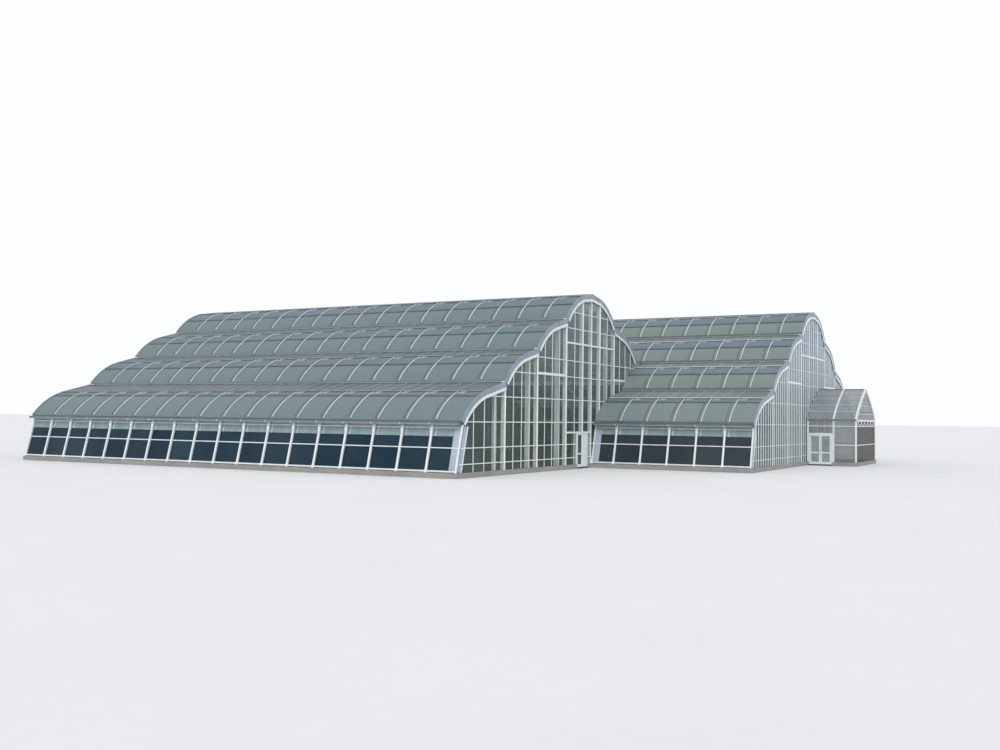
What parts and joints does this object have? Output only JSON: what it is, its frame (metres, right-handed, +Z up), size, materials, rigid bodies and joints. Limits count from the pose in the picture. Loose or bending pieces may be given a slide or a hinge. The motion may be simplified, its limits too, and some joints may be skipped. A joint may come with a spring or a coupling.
{
  "type": "glass greenhouse, 1:2 scale model",
  "caption": "Scale model of a glasshouse: two parallel halls with stepped, scalloped glass roofs and vents, a valley gutter, and a porch with a pointed arch.",
  "frame": {"origin": "ground level under the middle of the valley gutter between the two halls", "axes": "+X along the ridges towards the porch, +Y from the front wall to the back wall, +Z up"},
  "size_m": [25.63, 27.66, 6.13],
  "materials": {
    "wall_glass": "clear greenhouse glass",
    "roof_glass": "clear greenhouse glass over grey-green shade screens",
    "vent_glass": "clear greenhouse glass in a thin frame",
    "concrete": "smooth concrete",
    "gutter_metal": "blue-grey paint",
    "verge_metal": "pale grey paint",
    "door_metal": "white paint",
    "white_metal": "white paint"
  },
  "bodies": {
    "building": {"floor_slabs": "concrete", "gable_door_frame": "white_metal", "gable_ties": "white_metal", "main_back_roof_glass": "roof_glass", "main_back_vents": "vent_glass", "main_columns": "white_metal", "main_eave_gutters": "gutter_metal", "main_front_roof_glass": "roof_glass", "main_front_vents": "vent_glass", "main_left_gable_glass": "wall_glass", "main_left_gable_posts": "white_metal", "main_purlins": "white_metal", "main_rafters": "white_metal", "main_right_gable_glass": "wall_glass", "main_right_gable_posts": "white_metal", "main_verges": "verge_metal", "main_wall_glass": "wall_glass", "main_wall_posts": "white_metal", "plinth_kerbs": "concrete", "porch_door_frame": "white_metal", "porch_end_glass": "wall_glass", "porch_frames": "white_metal", "porch_rails": "white_metal", "porch_roof_glass": "roof_glass", "porch_side_glass": "wall_glass", "second_back_roof_glass": "roof_glass", "second_back_vents": "vent_glass", "second_columns": "white_metal", "second_eave_gutters": "gutter_metal", "second_front_roof_glass": "roof_glass", "second_front_vents": "vent_glass", "second_left_gable_glass": "wall_glass", "second_left_gable_posts": "white_metal", "second_purlins": "white_metal", "second_rafters": "white_metal", "second_right_gable_glass": "wall_glass", "second_right_gable_posts": "white_metal", "second_verges": "verge_metal", "second_wall_glass": "wall_glass", "second_wall_posts": "white_metal", "valley_gutter": "gutter_metal"},
    "gable_door_left": {"gable_door_left_leaf": "door_metal"},
    "gable_door_right": {"gable_door_right_leaf": "door_metal"},
    "porch_door_left": {"porch_door_left_leaf": "door_metal"},
    "porch_door_right": {"porch_door_right_leaf": "door_metal"}
  },
  "joints": [
    {"name": "gable_door_left_hinge", "type": "hinge", "parent": "building", "child": "gable_door_left", "pos_m": [6.01, -5.7575, 0], "axis": [0, 0, -1], "range_deg": [0, 100]},
    {"name": "gable_door_right_hinge", "type": "hinge", "parent": "building", "child": "gable_door_right", "pos_m": [6.01, -4.9525, 0], "axis": [0, 0, 1], "range_deg": [0, 100]},
    {"name": "porch_door_left_hinge", "type": "hinge", "parent": "building", "child": "porch_door_left", "pos_m": [11.8025, 3.44, 0], "axis": [0, 0, -1], "range_deg": [0, 100]},
    {"name": "porch_door_right_hinge", "type": "hinge", "parent": "building", "child": "porch_door_right", "pos_m": [12.6075, 3.44, 0], "axis": [0, 0, 1], "range_deg": [0, 100]}
  ]
}
